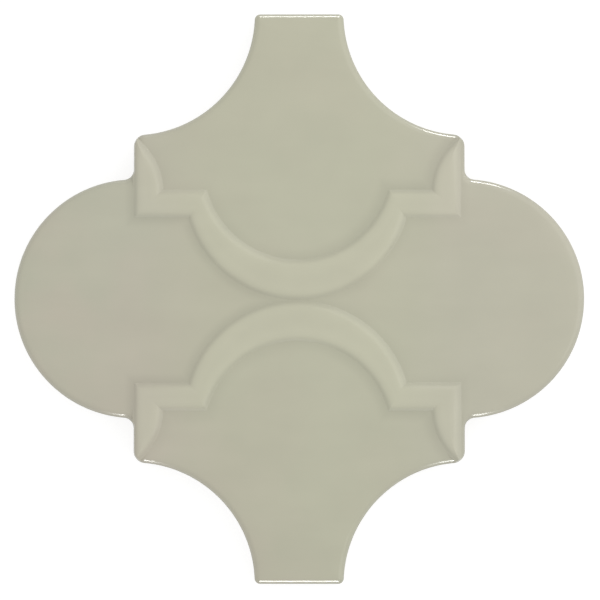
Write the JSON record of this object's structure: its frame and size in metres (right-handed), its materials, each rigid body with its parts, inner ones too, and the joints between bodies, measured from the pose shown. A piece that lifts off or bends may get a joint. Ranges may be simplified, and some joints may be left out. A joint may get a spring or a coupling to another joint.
{
  "type": "decorative wall tile",
  "caption": "Lantern-shaped decorative wall tile, about 120 mm, one fired ceramic piece with two raised strapwork bands and a pale grey-green gloss glaze.",
  "frame": {"origin": "middle of the back, on the plane where the tile rests", "axes": "+Z out of the glazed face, +Y towards the upper arm of the picture, +X towards the right lobe"},
  "size_m": [0.12, 0.12, 0.0088],
  "materials": {
    "glaze": "gloss"
  },
  "bodies": {
    "root": {"tile": "glaze"}
  },
  "joints": []
}
